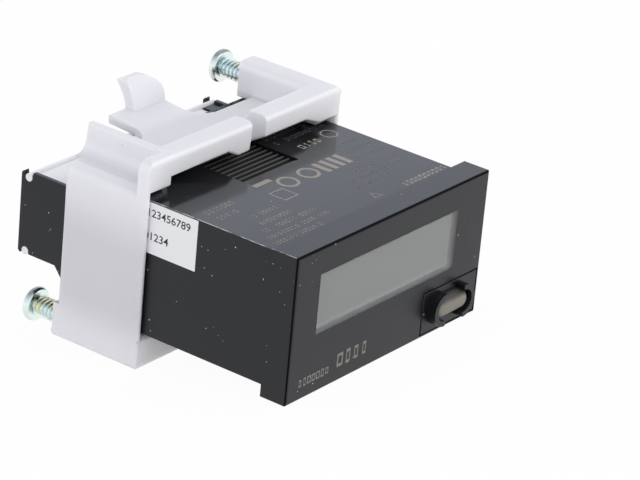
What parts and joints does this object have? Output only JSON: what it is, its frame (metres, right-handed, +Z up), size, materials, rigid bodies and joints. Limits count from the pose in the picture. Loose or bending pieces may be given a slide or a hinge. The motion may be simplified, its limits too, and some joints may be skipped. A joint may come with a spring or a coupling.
{
  "type": "panel counter",
  "caption": "Flush-mounted electronic total counter with a slim rectangular bezel, display window, reset key, rear screw terminals and a clip-on mounting adapter with clamp screws.",
  "frame": {"origin": "centre of the panel cut-out, on the back face of the bezel where the panel's front lies", "axes": "+X to the right as the front is read, -Y out of the front, +Y to the terminals, +Z up"},
  "size_m": [0.048, 0.0561, 0.0354],
  "materials": {
    "case_black": "satin",
    "window_clear": "gloss",
    "display_grey": "satin",
    "holder_white": "matte",
    "strip_pink": "matte",
    "board_green": "satin",
    "part_black": "matte",
    "part_tan": "matte",
    "cell_blue": "gloss",
    "nickel": "bright",
    "surround_black": "satin",
    "key_grey": "matte",
    "pill_black": "matte",
    "block_black": "satin",
    "terminal_brass": "bright",
    "terminal_steel": "bright",
    "cover_white": "translucent",
    "sticker_white": "matte",
    "adapter_white": "satin",
    "screw_zinc": "zinc plated"
  },
  "bodies": {
    "counter": {"case": "case_black", "display_window": "window_clear", "display_glass": "display_grey", "glass_holder": "holder_white", "contact_strips": "strip_pink", "display_board": "board_green", "board_header": "part_black", "main_board": "board_green", "counter_chip": "part_black", "chip_parts": "part_tan", "lithium_cell": "cell_blue", "cell_tabs": "nickel", "key_surround": "surround_black", "terminal_block": "block_black", "terminal_plates": "terminal_brass", "terminal_washers": "terminal_steel", "terminal_screws": "terminal_steel", "terminal_cover": "cover_white", "serial_sticker": "sticker_white"},
    "reset_button": {"reset_key": "key_grey", "contact_pill": "pill_black"},
    "adapter": {"mounting_adapter": "adapter_white"},
    "upper_screw": {"upper_clamp_screw": "screw_zinc"},
    "lower_screw": {"lower_clamp_screw": "screw_zinc"}
  },
  "joints": [
    {"name": "reset_press", "type": "slide", "parent": "counter", "child": "reset_button", "axis": [0, 1, 0], "range_m": [0, 0.0008], "stiffness_N_per_m": 1500, "springref_m": -0.0004},
    {"name": "adapter_slide", "type": "slide", "parent": "counter", "child": "adapter", "axis": [0, 1, 0], "range_m": [-0.0175, 0.003]},
    {"name": "upper_clamp", "type": "slide", "parent": "adapter", "child": "upper_screw", "axis": [0, 1, 0], "range_m": [-0.0043, 0.006]},
    {"name": "lower_clamp", "type": "slide", "parent": "adapter", "child": "lower_screw", "axis": [0, 1, 0], "range_m": [-0.0043, 0.006]}
  ]
}
